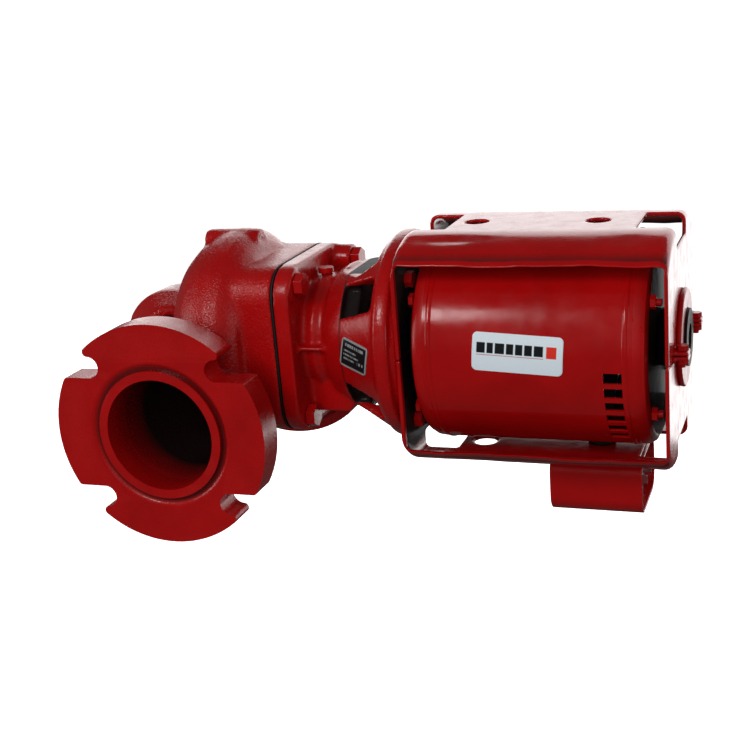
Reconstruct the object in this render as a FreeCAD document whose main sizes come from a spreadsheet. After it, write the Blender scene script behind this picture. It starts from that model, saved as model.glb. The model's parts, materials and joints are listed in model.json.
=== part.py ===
import FreeCAD, Part
import math
import os
import Sketcher
from FreeCAD import Placement, Rotation, Vector

# In-line circulator pump, millimetres.  Every sub-part is drawn in the shaft frame: X runs along the
# shaft from the pipe centreline towards the motor, Y along the pipe, Z up.  PUMP_DATUM then places it
# so that the row's origin is the centre of the outlet flange face.

doc = FreeCAD.newDocument("circulator_pump")
sheet = doc.addObject("Spreadsheet::Sheet", "Sizes")
NODES = []


class Size:
    """A length that knows both its value and the sheet expression it comes from."""

    def __init__(self, value, text):
        self.value = value
        self.text = text

    def __add__(self, other):
        other = as_size(other)
        return Size(self.value + other.value, "(%s + %s)" % (self.text, other.text))

    def __sub__(self, other):
        other = as_size(other)
        return Size(self.value - other.value, "(%s - %s)" % (self.text, other.text))

    def __mul__(self, other):
        other = as_size(other)
        return Size(self.value * other.value, "(%s * %s)" % (self.text, other.text))

    def __truediv__(self, other):
        other = as_size(other)
        return Size(self.value / other.value, "(%s / %s)" % (self.text, other.text))

    def __neg__(self):
        return Size(-self.value, "(0 - %s)" % self.text)

    def __radd__(self, other):
        return as_size(other) + self

    def __rsub__(self, other):
        return as_size(other) - self

    def __rmul__(self, other):
        return as_size(other) * self


def as_size(value):
    return value if isinstance(value, Size) else Size(float(value), repr(float(value)))


def root(size):
    return Size(math.sqrt(size.value), "sqrt(%s)" % size.text)


def named(alias, value):
    """Write one driving size into the sheet and return it."""
    row = len(named.rows) + 1
    named.rows.append(alias)
    sheet.set("A%d" % row, alias)
    sheet.set("B%d" % row, str(value))
    sheet.setAlias("B%d" % row, alias)
    return Size(float(value), "Sizes.%s" % alias)


named.rows = []

# ---------------------------------------------------------------- pipe flanges and casing
outlet_reach = named("outlet_reach", 110.0)
inlet_reach = named("inlet_reach", 133.0)
shaft_rise = named("shaft_rise", 44.0)
flange_radius = named("flange_radius", 78.0)
flange_thick = named("flange_thick", 21.0)
port_radius = named("port_radius", 39.4)
seat_inner = named("seat_inner", 45.6)
seat_outer = named("seat_outer", 52.2)
seat_floor = named("seat_floor", 47.6)
seat_depth = named("seat_depth", 3.0)
slot_width = named("slot_width", 15.2)
slot_pitch_x = named("slot_pitch_x", 95.4)
slot_pitch_z = named("slot_pitch_z", 94.0)
lobe_round = named("lobe_round", 3.2)
casing_wall = named("casing_wall", 7.5)
sweep_reach = named("sweep_reach", 50.0)
volute_radius = named("volute_radius", 74.5)
volute_bore = named("volute_bore", 60.0)
box_half_width = named("box_half_width", 56.0)
box_top = named("box_top", 56.5)
box_bottom = named("box_bottom", 62.0)
box_corner = named("box_corner", 22.0)
box_front = named("box_front", 14.0)
throat_radius = named("throat_radius", 48.2)
eye_radius = named("eye_radius", 22.0)
chamber_front = named("chamber_front", 4.0)
chamber_back = named("chamber_back", 34.0)
gauge_boss_radius = named("gauge_boss_radius", 8.7)
gauge_boss_height = named("gauge_boss_height", 66.5)
gauge_boss_front = named("gauge_boss_front", -2.0)
gauge_boss_back = named("gauge_boss_back", 40.0)
plug_radius = named("plug_radius", 4.8)
plug_depth = named("plug_depth", 9.0)

# ---------------------------------------------------------------- joint between casing and bracket
gasket_station = named("gasket_station", 67.5)
gasket_thick = named("gasket_thick", 1.2)
bolt_half_y = named("bolt_half_y", 41.0)
bolt_top = named("bolt_top", 44.0)
bolt_bottom = named("bolt_bottom", 50.0)
screw_radius = named("screw_radius", 4.76)
screw_across_flats = named("screw_across_flats", 14.3)
screw_head = named("screw_head", 6.4)
screw_gap = named("screw_gap", 0.15)
screw_bite = named("screw_bite", 16.0)

# ---------------------------------------------------------------- bearing bracket
bracket_flange = named("bracket_flange", 11.5)
bracket_pad = named("bracket_pad", 1.5)
bolt_boss = named("bolt_boss", 13.0)
bracket_pad_radius = named("bracket_pad_radius", 10.5)
spigot_front = named("spigot_front", 40.0)
spigot_gap = named("spigot_gap", 0.3)
neck_radius = named("neck_radius", 41.0)
neck_bead = named("neck_bead", 2.0)
neck_bead_station = named("neck_bead_station", 89.0)
neck_web_half = named("neck_web_half", 31.0)
neck_web_drop = named("neck_web_drop", 50.0)
cone_station = named("cone_station", 99.0)
cone_front_radius = named("cone_front_radius", 45.5)
cone_back_radius = named("cone_back_radius", 70.0)
bell_wall = named("bell_wall", 6.0)
bell_floor = named("bell_floor", 112.0)
bell_step = named("bell_step", 125.0)
bell_step_radius = named("bell_step_radius", 31.0)
ring_station = named("ring_station", 143.2)
ring_width = named("ring_width", 10.7)
ring_radius = named("ring_radius", 72.5)
ring_lip = named("ring_lip", 4.5)
ring_lip_radius = named("ring_lip_radius", 67.0)
window_half = named("window_half", 12.0)
window_front = named("window_front", 114.5)
window_back = named("window_back", 140.0)
top_window_half = named("top_window_half", 33.0)
top_window_front = named("top_window_front", 108.5)
top_window_back = named("top_window_back", 138.0)
window_floor = named("window_floor", 48.0)
rib_thick = named("rib_thick", 2.8)
ring_bolt_circle = named("ring_bolt_circle", 64.8)
ring_screw_length = named("ring_screw_length", 13.0)
ring_screw_flats = named("ring_screw_flats", 9.5)
ring_screw_head = named("ring_screw_head", 5.0)
oil_cap_station = named("oil_cap_station", 87.0)
oil_cap_radius = named("oil_cap_radius", 5.5)
oil_cap_stand = named("oil_cap_stand", 4.0)
oil_cap_stem = named("oil_cap_stem", 8.0)
oil_well_radius = named("oil_well_radius", 30.0)

# ---------------------------------------------------------------- pump rotating parts
shaft_radius = named("shaft_radius", 8.0)
shaft_tail_radius = named("shaft_tail_radius", 5.0)
running_gap = named("running_gap", 0.04)
face_gap = named("face_gap", 0.3)
impeller_radius = named("impeller_radius", 45.5)
impeller_front = named("impeller_front", 9.0)
impeller_width = named("impeller_width", 20.0)
shroud_thick = named("shroud_thick", 3.0)
vane_thick = named("vane_thick", 3.0)
nut_across_flats = named("nut_across_flats", 14.3)
nut_thick = named("nut_thick", 6.5)
seal_radius = named("seal_radius", 14.0)
seal_station = named("seal_station", 39.0)
seal_length = named("seal_length", 5.0)
seat_ring_radius = named("seat_ring_radius", 17.0)
seat_ring_thick = named("seat_ring_thick", 7.0)
spring_wire = named("spring_wire", 0.9)
spring_gap = named("spring_gap", 0.2)
bushing_radius = named("bushing_radius", 12.7)
bushing_length = named("bushing_length", 22.0)
bushing_front = named("bushing_front", 60.0)
collar_radius = named("collar_radius", 13.0)
collar_thick = named("collar_thick", 5.0)
hub_radius = named("hub_radius", 23.0)
hub_plate = named("hub_plate", 6.5)
jaw_length = named("jaw_length", 8.0)
jaw_gap = named("jaw_gap", 0.3)
jaw_inner = named("jaw_inner", 14.0)
jaw_width = named("jaw_width", 8.4)
leg_width = named("leg_width", 4.0)

# ---------------------------------------------------------------- motor
motor_radius = named("motor_radius", 71.0)
shell_front = named("shell_front", 177.2)
shell_length = named("shell_length", 134.8)
shell_sheet = named("shell_sheet", 1.6)
bell_depth = named("bell_depth", 9.0)
end_bell_wall = named("end_bell_wall", 4.0)
motor_hub_radius = named("motor_hub_radius", 19.0)
front_hub_stand = named("front_hub_stand", 4.4)
rear_hub_stand = named("rear_hub_stand", 5.0)
motor_shaft_front = named("motor_shaft_front", 130.0)
stator_fit = named("stator_fit", 0.4)
rotor_radius = named("rotor_radius", 40.0)
rotor_gap = named("rotor_gap", 0.4)
stack_front = named("stack_front", 198.0)
stack_length = named("stack_length", 72.0)
winding_length = named("winding_length", 14.0)
fan_inset = named("fan_inset", 15.0)
fan_width = named("fan_width", 9.0)
ball_bearing_radius = named("ball_bearing_radius", 15.0)
ball_bearing_width = named("ball_bearing_width", 9.0)
vent_front = named("vent_front", 294.0)
vent_length = named("vent_length", 14.0)
vent_height = named("vent_height", 7.0)
through_bolt_radius = named("through_bolt_radius", 2.4)
rod_inset = named("rod_inset", 9.0)
rod_flats = named("rod_flats", 8.0)
rod_head = named("rod_head", 3.0)
rod_nut = named("rod_nut", 3.5)
rod_tail = named("rod_tail", 7.0)

# ---------------------------------------------------------------- cradle
cradle_front = named("cradle_front", 158.6)
cradle_length = named("cradle_length", 175.4)
cradle_half_height = named("cradle_half_height", 78.0)
cradle_flat = named("cradle_flat", 30.0)
cradle_half_width = named("cradle_half_width", 69.0)
cradle_skirt_drop = named("cradle_skirt_drop", 15.6)
cradle_bend = named("cradle_bend", 6.0)
cradle_sheet = named("cradle_sheet", 2.6)
cradle_split = named("cradle_split", 0.6)
resilient_radius = named("resilient_radius", 31.0)
resilient_width = named("resilient_width", 9.0)
rubber_groove = named("rubber_groove", 2.4)
tab_length = named("tab_length", 9.0)
tab_width = named("tab_width", 12.0)
clamp_flats = named("clamp_flats", 7.0)
clamp_nut = named("clamp_nut", 3.4)
tab_centre_y = named("tab_centre_y", 39.0)
clamp_radius = named("clamp_radius", 2.0)
plate_hole_radius = named("plate_hole_radius", 8.0)
plate_hole_front = named("plate_hole_front", 199.5)
plate_hole_pitch = named("plate_hole_pitch", 81.5)
lower_hole_offset = named("lower_hole_offset", 8.0)
cutout_half_width = named("cutout_half_width", 24.0)
cutout_length = named("cutout_length", 25.0)
cutout_drop = named("cutout_drop", 14.0)

# ---------------------------------------------------------------- capacitor and plates
sleeve_front = named("sleeve_front", 248.6)
sleeve_length = named("sleeve_length", 62.0)
sleeve_width = named("sleeve_width", 60.0)
sleeve_height = named("sleeve_height", 40.0)
sleeve_sheet = named("sleeve_sheet", 1.6)
sleeve_corner = named("sleeve_corner", 12.0)
capacitor_length = named("capacitor_length", 54.0)
grommet_station = named("grommet_station", 279.6)
grommet_radius = named("grommet_radius", 9.5)
label_front = named("label_front", 209.6)
label_length = named("label_length", 58.5)
label_height = named("label_height", 24.0)
label_thick = named("label_thick", 0.5)
rating_height = named("rating_height", 19.0)
rating_length = named("rating_length", 19.0)
rating_front = named("rating_front", 117.0)
rating_thick = named("rating_thick", 0.6)
doc.recompute()

# ---------------------------------------------------------------- derived stations
PUMP_DATUM = (Size(0.0, "0"), outlet_reach, shaft_rise)
cone_slope = (cone_back_radius - cone_front_radius) / (ring_station - cone_station)
bracket_front = gasket_station + gasket_thick
bracket_back = bracket_front + bracket_flange
ring_back = ring_station + ring_width
cradle_back = cradle_front + cradle_length
shell_back = shell_front + shell_length
stack_back = stack_front + stack_length
# the motor's inside follows its shell, and its hubs reach just past the cradle's end walls
stator_radius = motor_radius - shell_sheet - stator_fit
fan_radius = motor_radius - fan_inset
through_bolt_circle = motor_radius - rod_inset
front_hub_length = shell_front - bell_depth - cradle_front + front_hub_stand
rear_hub_length = cradle_back + rear_hub_stand - shell_back - bell_depth


# ================================================================ drawing helpers
def bind(item, prop, size):
    """Give a property its value, through the sheet whenever the size comes from there."""
    size = as_size(size)
    if "Sizes." in size.text:
        item.setExpression(prop, size.text)
    else:
        target, _, last = prop.rpartition(".")
        if target:
            base = item.Placement.Base
            setattr(base, last, size.value)
            item.Placement = Placement(base, item.Placement.Rotation)
        else:
            setattr(item, prop, size.value)


def moved_to(item, at, rotation=None):
    """Turn an item, then bind the three coordinates of its base point."""
    item.Placement = Placement(Vector(*[as_size(a).value for a in at]), rotation or Rotation())
    for letter, value in zip("xyz", at):
        if "Sizes." in as_size(value).text:
            bind(item, "Placement.Base.%s" % letter, value)
    return item


def node(item, label):
    """Finish a sub-part: label it, place it in the row's frame and list it for export."""
    item.Label = label
    moved_to(item, PUMP_DATUM, item.Placement.Rotation)
    NODES.append(item)
    return item


ALONG = {
    "x": Rotation(Vector(0, 1, 0), 90),
    "y": Rotation(Vector(1, 0, 0), -90),
    "z": Rotation(),
}


def cylinder(name, radius, length, at, along="x"):
    item = doc.addObject("Part::Cylinder", name)
    bind(item, "Radius", radius)
    bind(item, "Height", length)
    return moved_to(item, at, ALONG[along])


def block(name, sizes, at):
    item = doc.addObject("Part::Box", name)
    for prop, value in zip(("Length", "Width", "Height"), sizes):
        bind(item, prop, value)
    return moved_to(item, at)


def hexagon(name, across_flats, length, at, along="x"):
    item = doc.addObject("Part::Prism", name)
    item.Polygon = 6
    bind(item, "Circumradius", as_size(across_flats) / math.sqrt(3))
    bind(item, "Height", length)
    return moved_to(item, at, ALONG[along])


def fused(name, items):
    item = doc.addObject("Part::MultiFuse", name)
    item.Shapes = items
    return item


def carved(name, base, tools):
    """Cut a list of tools from a base."""
    item = doc.addObject("Part::Cut", name)
    item.Base = base
    item.Tool = tools[0] if len(tools) == 1 else fused(name + "_tools", tools)
    return item


def carved_in_turn(name, base, tools):
    """Cut tools one after another, for shapes too blended to cut as one set."""
    for count, tool in enumerate(tools):
        base = carved("%s_%d" % (name, count + 1), base, [tool])
    return base


def gathered(name, items):
    """Group separate solids, or wrap one so that it can be turned as a whole."""
    item = doc.addObject("Part::Compound", name)
    item.Links = items
    return item


def around_shaft(name, item, angles):
    """Copies of one item turned about the shaft by each angle; 0 is up, 90 is towards the outlet."""
    copies = []
    for count, angle in enumerate(angles):
        copy = gathered("%s_%d" % (name, count + 1), [item])
        copy.Placement = Placement(Vector(), Rotation(Vector(1, 0, 0), angle))
        copies.append(copy)
    return copies


def body(name):
    return doc.addObject("PartDesign::Body", name)


def sketch(owner, name, role, offset=None):
    item = owner.newObject("Sketcher::SketchObject", name)
    plane = next(f for f in owner.Origin.OriginFeatures if f.Role == role)
    item.AttachmentSupport = (plane, [""])
    item.MapMode = "FlatFace"
    if offset is not None:
        item.setExpression("AttachmentOffset.Base.z", as_size(offset).text)
    return item


def fix_point(item, geometry, end, at):
    """Hold a sketch point at its two coordinates."""
    for kind, value in zip(("DistanceX", "DistanceY"), at):
        value = as_size(value)
        index = item.addConstraint(Sketcher.Constraint(kind, -1, 1, geometry, end, value.value))
        item.setExpression("Constraints[%d]" % index, value.text)


def draw_circle(item, centre, radius):
    radius = as_size(radius)
    middle = Vector(*[as_size(c).value for c in centre], 0)
    index = item.addGeometry(Part.Circle(middle, Vector(0, 0, 1), radius.value))
    fix_point(item, index, 3, centre)
    limit = item.addConstraint(Sketcher.Constraint("Radius", index, radius.value))
    item.setExpression("Constraints[%d]" % limit, radius.text)


def draw_loop(item, corners, arcs=()):
    """Closed loop through the corners.  arcs maps a corner's index to (radius, centre, turn) when
    the edge leaving it is an arc; turn is 1 for anticlockwise and -1 for clockwise."""
    arcs = dict(arcs)
    points = [Vector(as_size(x).value, as_size(y).value, 0) for x, y in corners]
    ends = []
    for count, start in enumerate(points):
        finish = points[(count + 1) % len(points)]
        if count in arcs:
            radius, centre, turn = arcs[count]
            middle = Vector(*[as_size(c).value for c in centre], 0)
            first, last = (start, finish) if turn > 0 else (finish, start)
            circle = Part.Circle(middle, Vector(0, 0, 1), as_size(radius).value)
            angles = [math.atan2(p.y - middle.y, p.x - middle.x) for p in (first, last)]
            if angles[1] <= angles[0]:
                angles[1] += 2 * math.pi
            index = item.addGeometry(Part.ArcOfCircle(circle, angles[0], angles[1]))
            ends.append((index, 1, 2) if turn > 0 else (index, 2, 1))
        else:
            index = item.addGeometry(Part.LineSegment(start, finish))
            ends.append((index, 1, 2))
    for count, (index, start_end, _) in enumerate(ends):
        previous = ends[count - 1]
        item.addConstraint(Sketcher.Constraint("Coincident", previous[0], previous[2], index, start_end))
        fix_point(item, index, start_end, corners[count])
    for count, (_, centre, _) in arcs.items():
        # the two ends are held already, so the centre needs holding along one direction only
        start, finish = points[count], points[(count + 1) % len(points)]
        flat = abs(finish.y - start.y) > abs(finish.x - start.x)
        kind, value = ("DistanceX", as_size(centre[0])) if flat else ("DistanceY", as_size(centre[1]))
        limit = item.addConstraint(Sketcher.Constraint(kind, -1, 1, ends[count][0], 3, value.value))
        item.setExpression("Constraints[%d]" % limit, value.text)


def turned(name, profile, arcs=()):
    """A body turned about the shaft from (station, radius) corners."""
    owner = body(name)
    item = sketch(owner, name + "_profile", "XZ_Plane")
    draw_loop(item, profile, arcs)
    spin = owner.newObject("PartDesign::Revolution", name + "_turn")
    spin.Profile = item
    spin.ReferenceAxis = (item, ["H_Axis"])
    spin.Angle = 360
    return owner


def ring(name, inner, outer, front, length):
    back = front + length
    return turned(name, [(front, inner), (back, inner), (back, outer), (front, outer)])


def padded(owner, item, length):
    pad = owner.newObject("PartDesign::Pad", item.Name + "_pad")
    pad.Profile = item
    bind(pad, "Length", length)
    return pad


def rounded(owner, feature, radius, wanted):
    """Round the edges of a feature that a test picks out."""
    doc.recompute()
    names = ["Edge%d" % (i + 1) for i, e in enumerate(feature.Shape.Edges) if wanted(e)]
    fillet = owner.newObject("PartDesign::Fillet", feature.Name + "_round")
    fillet.Base = (feature, names)
    bind(fillet, "Radius", radius)
    return fillet


def runs_along_x(edge):
    a, b = edge.Vertexes[0].Point, edge.Vertexes[-1].Point
    return len(edge.Vertexes) == 2 and abs(a.x - b.x) > 1 and abs(a.y - b.y) + abs(a.z - b.z) < 1e-6


def cushion(name, front, length, holes):
    """The rounded square shared by casing, gasket and bracket, with round holes through it."""
    owner = body(name)
    item = sketch(owner, name + "_outline", "YZ_Plane", front)
    draw_loop(item, [(-box_half_width, -box_bottom), (box_half_width, -box_bottom),
                     (box_half_width, box_top), (-box_half_width, box_top)])
    for centre, radius in holes:
        draw_circle(item, centre, radius)
    pad = padded(owner, item, length)
    rounded(owner, pad, box_corner,
            lambda e: runs_along_x(e) and abs(e.Vertexes[0].Y) > box_half_width.value - 0.01)
    return owner


BOLT_CORNERS = [(sy * bolt_half_y, z) for sy in (-1, 1) for z in (-bolt_bottom, bolt_top)]
RING_ANGLES = (41, 139, 221, 319)
ROD_ANGLES = (54, 126, 234, 306)
VENT_ANGLES = [96.0 + 8.5 * place for place in range(6)]
PAD_HEIGHTS = [bracket_pad, bracket_pad, bracket_pad, bolt_boss]


# ================================================================ casing
# the outside of the volute: station, and share of the volute's largest radius
DOME = [(-28, 0), (-26, 0.322), (-18, 0.577), (-9, 0.772), (1, 0.9), (11, 0.97), (21, 1), (31, 0.987),
        (38, 0.926), (43, 0.846), (43, 0)]


def lobe_points():
    """Upper right quarter of the flange outline, from the side lobe to the top lobe, about its axis."""
    half = slot_width / 2
    end_x, end_z = slot_pitch_x / 2, slot_pitch_z / 2
    low, high = end_z - half, end_z + half
    reach = flange_radius - lobe_round
    side_z, top_z = low - lobe_round, high + lobe_round
    side_x = root(reach * reach - side_z * side_z)
    top_x = root(reach * reach - top_z * top_z)
    out = flange_radius / reach
    points = [(side_x * out, side_z * out), (side_x, low), (end_x, low), (end_x, high), (top_x, high),
              (top_x * out, top_z * out)]
    arcs = {0: (lobe_round, (side_x, side_z), 1), 2: (half, (end_x, end_z), -1),
            4: (lobe_round, (top_x, top_z), 1), 5: (flange_radius, (0, 0), 1)}
    return points, arcs


def pipe_flange(name, offset):
    """A pipe flange with four bolt slots that open sideways, axis along Y."""
    points, arcs = lobe_points()
    corners, all_arcs = [], {}
    for quarter, (sx, sz) in enumerate(((1, 1), (-1, 1), (-1, -1), (1, -1))):
        order = range(6) if sx * sz > 0 else range(5, -1, -1)
        for place, index in enumerate(order):
            x, z = points[index]
            corners.append((sx * x, sz * z - shaft_rise))
            # going backwards round a quarter, each edge belongs to the corner before it
            edge = index if sx * sz > 0 else index - 1
            if place == 5:
                edge = 5
            if edge in arcs:
                radius, (cx, cz), turn = arcs[edge]
                all_arcs[quarter * 6 + place] = (radius, (sx * cx, sz * cz - shaft_rise), turn)
    owner = body(name)
    item = sketch(owner, name + "_outline", "XZ_Plane", offset)
    draw_loop(item, corners, all_arcs)
    padded(owner, item, flange_thick)
    return owner


def seat_groove(name, front, mouth, floor):
    """Gasket groove with one sloping side; mouth and floor are its outer radii at each end."""
    outer = doc.addObject("Part::Cone", name + "_outer")
    bind(outer, "Radius1", mouth)
    bind(outer, "Radius2", floor)
    bind(outer, "Height", seat_depth)
    moved_to(outer, (0, front, -shaft_rise), ALONG["y"])
    inner = cylinder(name + "_inner", seat_inner, seat_depth, (0, front, -shaft_rise), "y")
    return carved(name, outer, [inner])


def passage(name, stops, ruled):
    """Tube through circles given as (x, y, z, radius, turn about Z, tilt about X)."""
    circles = []
    for count, (x, y, z, radius, turn, tilt) in enumerate(stops):
        circle = doc.addObject("Part::Circle", "%s_%d" % (name, count + 1))
        bind(circle, "Radius", radius)
        facing = Rotation(Vector(0, 0, 1), turn).multiply(Rotation(Vector(1, 0, 0), tilt - 90))
        circles.append(moved_to(circle, (x, y, z), facing))
    loft = doc.addObject("Part::Loft", name)
    loft.Sections = circles
    loft.Solid = True
    loft.Ruled = ruled
    return loft


def passage_stops(extra, straight):
    """Outlet and inlet routes; extra is added to every radius for the outside of the wall, and
    straight is how far in from its face each route starts.  The inlet sweeps round to the impeller's
    eye on the side away from the motor; the outlet leaves the volute at its lowest side."""
    low = -shaft_rise
    rim = port_radius + extra
    outlet = [(0, straight - outlet_reach, low, rim, 0, 0), (0, straight + 12 - outlet_reach, low, rim, 0, 0),
              (6, outlet_reach * -0.45, low, rim - 4, 0, 0), (17, -12, low * 0.9, rim - 15, 0, 0)]
    inlet = [(0, inlet_reach - straight, low, rim, 0, 0),
             (-4, inlet_reach * 0.76, low, rim, -14, -3),
             (sweep_reach * -0.4, inlet_reach * 0.58, low * 0.85, rim - 0.5, -28, -9),
             (sweep_reach * -0.78, inlet_reach * 0.4, low * 0.6, rim - 1.5, -28, -15),
             (sweep_reach * -1, inlet_reach * 0.22, low * 0.35, rim - 5, -8, -18),
             (sweep_reach * -0.98, inlet_reach * 0.06, low * 0.15, rim - 14, 12, -14),
             (sweep_reach * -0.8, inlet_reach * -0.06, low * 0.05, rim - 27, 30, -10)]
    return outlet, inlet


def build_casing():
    port_depth = flange_thick + 3
    outlet, inlet = passage_stops(casing_wall, flange_thick / 2)
    outlet_bore, inlet_bore = passage_stops(-0.5, port_depth - 2)
    dome = turned("dome", [(station, volute_radius * share) for station, share in DOME])
    box = cushion("casing_box", box_front, gasket_station - box_front, [])
    boss = cylinder("gauge_boss", gauge_boss_radius, gauge_boss_back - gauge_boss_front,
                    (gauge_boss_front, 0, gauge_boss_height))
    near = pipe_flange("outlet_flange", outlet_reach - flange_thick)
    far = pipe_flange("inlet_flange", -inlet_reach)
    walls = [passage("outlet_wall", outlet, False), passage("inlet_wall", inlet, True)]
    outside = fused("casing_outside", [dome, box, boss, near, far] + walls)
    rooms = turned("casing_rooms", [
        (-19, 0), (-17, 22), (-11, 34), (-6, 40), (-4, 40), (-4, eye_radius),
        (chamber_front, eye_radius), (chamber_front, volute_bore), (chamber_back, volute_bore),
        (chamber_back, throat_radius), (gasket_station, throat_radius), (gasket_station, 0)])
    hollow = [rooms, passage("outlet_bore", outlet_bore, False), passage("inlet_bore", inlet_bore, True)]
    hollow += [cylinder("port_%s" % side, port_radius, port_depth, (0, start, -shaft_rise), "y")
               for side, start in (("outlet", -outlet_reach), ("inlet", inlet_reach - port_depth))]
    open_casing = carved_in_turn("casing_hollow", outside, hollow)
    # the wall between the suction room and the volute room goes back in, less the eye
    divider = ring("divider", eye_radius, volute_bore + 2, chamber_front - 8, 8)
    walled = fused("casing_walled", [open_casing, divider])
    tools = [seat_groove("outlet_groove", -outlet_reach, seat_outer, seat_floor),
             seat_groove("inlet_groove", inlet_reach - seat_depth, seat_floor, seat_outer)]
    for count, (y, z) in enumerate(BOLT_CORNERS):
        tools.append(cylinder("casing_tap_%d" % count, screw_radius + screw_gap, screw_bite + 4,
                              (gasket_station - screw_bite - 4, y, z)))
    for side, start in (("front", gauge_boss_front), ("back", gauge_boss_back - plug_depth)):
        tools.append(cylinder("gauge_tap_" + side, plug_radius, plug_depth, (start, 0, gauge_boss_height)))
    return node(carved("casing", walled, tools), "volute_casing")


def build_gauge_plugs():
    plugs = []
    for side, start, mouth in (("front", gauge_boss_front, gauge_boss_front),
                               ("back", gauge_boss_back - plug_depth, gauge_boss_back - plug_depth / 2)):
        plug = cylinder("plug_" + side, plug_radius, plug_depth, (start, 0, gauge_boss_height))
        socket = hexagon("plug_socket_" + side, 5.0, plug_depth / 2, (mouth, 0, gauge_boss_height))
        plugs.append(carved("gauge_plug_" + side, plug, [socket]))
    return node(gathered("plugs", plugs), "gauge_plugs")


def build_gasket():
    holes = [((0, 0), throat_radius)] + [(c, screw_radius + screw_gap) for c in BOLT_CORNERS]
    return node(cushion("gasket", gasket_station, gasket_thick, holes), "casing_gasket")


# ================================================================ bearing bracket
def build_bracket():
    bell_inner = cone_front_radius + cone_slope * (bell_step - cone_station) - bell_wall
    seat_back = seal_station + seal_length + face_gap
    core = turned("bracket_core", [
        (spigot_front, 24), (spigot_front, throat_radius - spigot_gap),
        (bracket_front + 1, throat_radius - spigot_gap), (bracket_front + 1, neck_radius),
        (neck_bead_station - 2.5, neck_radius), (neck_bead_station - 1.5, neck_radius + neck_bead),
        (neck_bead_station + 1.5, neck_radius + neck_bead), (neck_bead_station + 2.5, neck_radius),
        (cone_station - 1, neck_radius), (cone_station, cone_front_radius),
        (ring_station, cone_back_radius), (ring_station, ring_radius - 1.5), (ring_station + 1.5, ring_radius),
        (ring_back - 1.5, ring_radius), (ring_back, ring_radius - 1.5), (ring_back, ring_lip_radius),
        (ring_back + ring_lip, ring_lip_radius), (ring_back + ring_lip, ring_lip_radius - 11),
        (ring_station, ring_lip_radius - 11), (bell_step, bell_inner), (bell_step, bell_step_radius),
        (bell_floor, bell_step_radius), (bell_floor, bushing_radius), (bushing_front, bushing_radius),
        (bushing_front, shaft_radius + 2), (seat_back + seat_ring_thick, shaft_radius + 2),
        (seat_back + seat_ring_thick, seat_ring_radius), (seat_back, seat_ring_radius), (seat_back, 24)])
    flange = cushion("bracket_plate", bracket_front, bracket_flange,
                     [((0, 0), neck_radius - 2)] + [(c, screw_radius + screw_gap) for c in BOLT_CORNERS])
    pads, pad_holes = [], []
    for i, ((y, z), lift) in enumerate(zip(BOLT_CORNERS, PAD_HEIGHTS)):
        at = (bracket_back - 4, y, z)
        pads.append(cylinder("bracket_pad_%d" % i, bracket_pad_radius, lift + 4, at))
        pad_holes.append(cylinder("pad_hole_%d" % i, screw_radius + screw_gap, lift + 4, at))
    pads_drilled = carved("bracket_pads", fused("bracket_pad_set", pads), pad_holes)
    ribs = [block("bracket_rib_%d" % i, (cone_station - bracket_back + 6, 14, rib_thick),
                  (bracket_back - 2, y, -rib_thick / 2))
            for i, y in enumerate((-neck_radius - 7, neck_radius - 7))]
    web = block("neck_web", (cone_station - bracket_back + 14, neck_web_half * 2, 24),
                (bracket_back - 2, -neck_web_half, -neck_web_drop))
    solid = fused("bracket_solid", [core, flange, pads_drilled, web] + ribs)
    window = block("bracket_window", (window_back - window_front, window_half * 2, 40),
                   (window_front, -window_half, window_floor))
    wide = block("bracket_top_window", (top_window_back - top_window_front, top_window_half * 2, 40),
                 (top_window_front, -top_window_half, window_floor))
    tools = around_shaft("window", window, (52, 128, 232, 308)) + around_shaft("wide_window", wide, (0, 180))
    well = ring("oil_well", bushing_radius - 2, oil_well_radius, bushing_front + bushing_length + 1, 6)
    filler = cylinder("oil_filler", oil_cap_radius - 2, 40,
                      (oil_cap_station, 0, oil_well_radius - 6), "z")
    tap = cylinder("ring_tap", screw_radius + screw_gap, ring_screw_length + 2,
                   (ring_back + ring_lip - ring_screw_length - 2, 0, ring_bolt_circle), "x")
    tools += around_shaft("ring_tap", tap, RING_ANGLES) + [well, filler]
    return node(carved("bracket", solid, tools), "bearing_bracket")


def hex_screw(name, head_at, flats, head_length, shank_length):
    """Hexagon head cap screw whose shank runs towards -X."""
    x, y, z = head_at
    head = hexagon(name + "_head", flats, head_length, (x, y, z))
    shank = cylinder(name + "_shank", screw_radius, shank_length, (x - shank_length, y, z))
    return fused(name, [head, shank])


def build_casing_screws():
    reach = bracket_flange + gasket_thick + screw_bite
    screws = [hex_screw("casing_screw_%d" % i, (bracket_back + lift, y, z), screw_across_flats,
                        screw_head, reach + lift)
              for i, ((y, z), lift) in enumerate(zip(BOLT_CORNERS, PAD_HEIGHTS))]
    return node(gathered("casing_screws", screws), "casing_cap_screws")


def build_ring_screws():
    head_at = (cradle_front + cradle_sheet, 0, ring_bolt_circle)
    screw = hex_screw("ring_screw", head_at, ring_screw_flats, ring_screw_head,
                      ring_screw_length + cradle_sheet)
    return node(gathered("ring_screws", around_shaft("ring_screw", screw, RING_ANGLES)),
                "ring_cap_screws")


def build_oil_cap():
    mouth = neck_radius + neck_bead
    stem = cylinder("oil_stem", oil_cap_radius - 2.2, oil_cap_stem,
                    (oil_cap_station, 0, mouth - oil_cap_stem), "z")
    cap = cylinder("oil_lid", oil_cap_radius, oil_cap_stand, (oil_cap_station, 0, mouth), "z")
    return node(fused("oil_cup", [stem, cap]), "oil_cap")


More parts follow.
